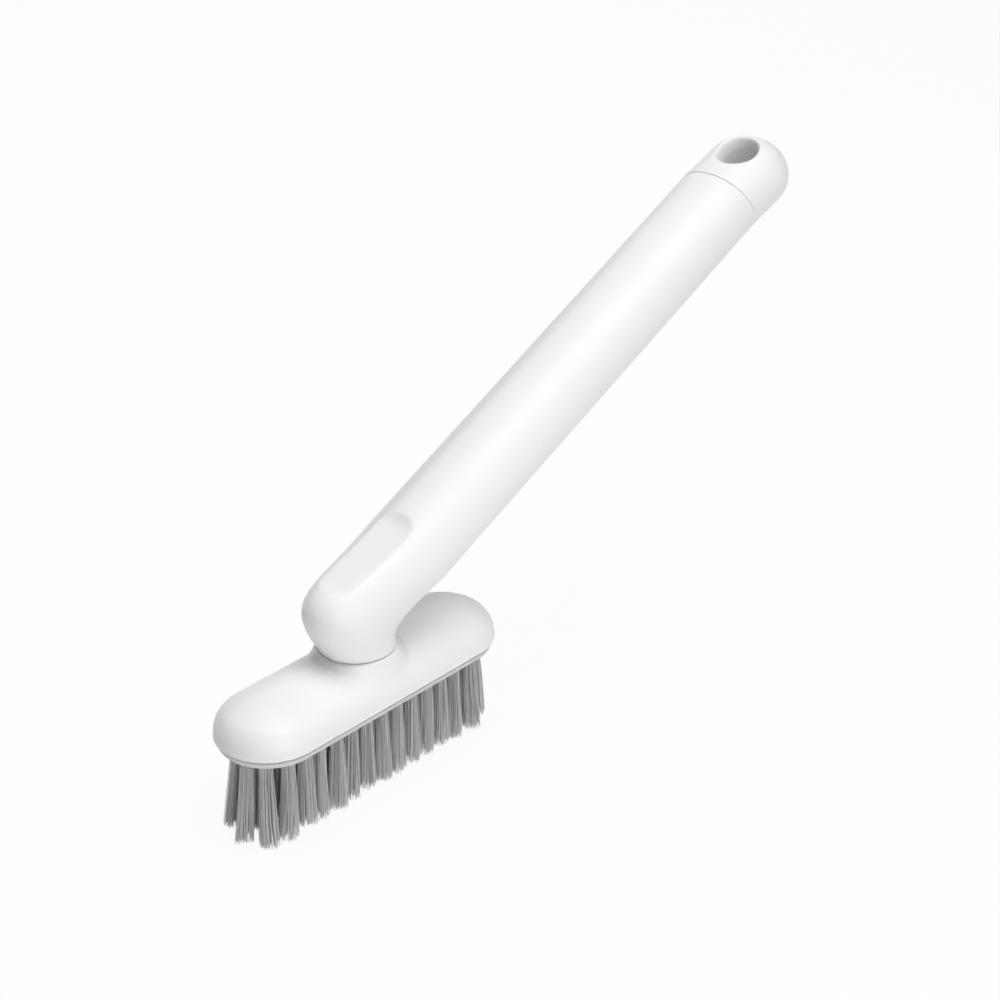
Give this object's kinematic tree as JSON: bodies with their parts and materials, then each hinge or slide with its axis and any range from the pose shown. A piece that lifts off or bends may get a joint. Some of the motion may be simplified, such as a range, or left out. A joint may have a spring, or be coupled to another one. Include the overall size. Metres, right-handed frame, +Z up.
{
  "type": "grout brush",
  "caption": "Hand scrub brush: long narrow stadium head with dense tufted bristles on a neck swivel, with a raised hollow oval handle that ends in a capped hanging hole.",
  "frame": {"origin": "middle of the brush's length and width, in the plane of its bristle tips", "axes": "+X from the head towards the handle's capped end, +Y across the brush to its left, +Z up, away from the scrubbed surface"},
  "size_m": [0.2506, 0.0332, 0.1545],
  "materials": {
    "white_plastic": "satin moulded plastic",
    "plate_plastic": "plain moulded plastic",
    "spindle_plastic": "plain moulded plastic",
    "steel": "bright zinc",
    "brass": "plain sheet",
    "bristle": "translucent grey filament"
  },
  "bodies": {
    "handle": {"handle_shell": "white_plastic", "end_cap": "white_plastic", "swivel_spindle": "spindle_plastic", "pivot_screw": "steel", "retaining_washer": "steel", "friction_washer": "steel"},
    "head": {"head_shell": "white_plastic", "bristle_plate": "plate_plastic", "tuft_anchors": "brass", "bristles_left_row": "bristle", "bristles_right_row": "bristle", "bristles_inner_left": "bristle", "bristles_inner_right": "bristle", "bristles_front_end": "bristle", "bristles_rear_end": "bristle"}
  },
  "joints": [
    {"name": "head_swivel", "type": "hinge", "parent": "handle", "child": "head", "pos_m": [-0.07281, 0, 0.045], "axis": [0, 0, 1], "range_deg": [-90, 90]}
  ]
}
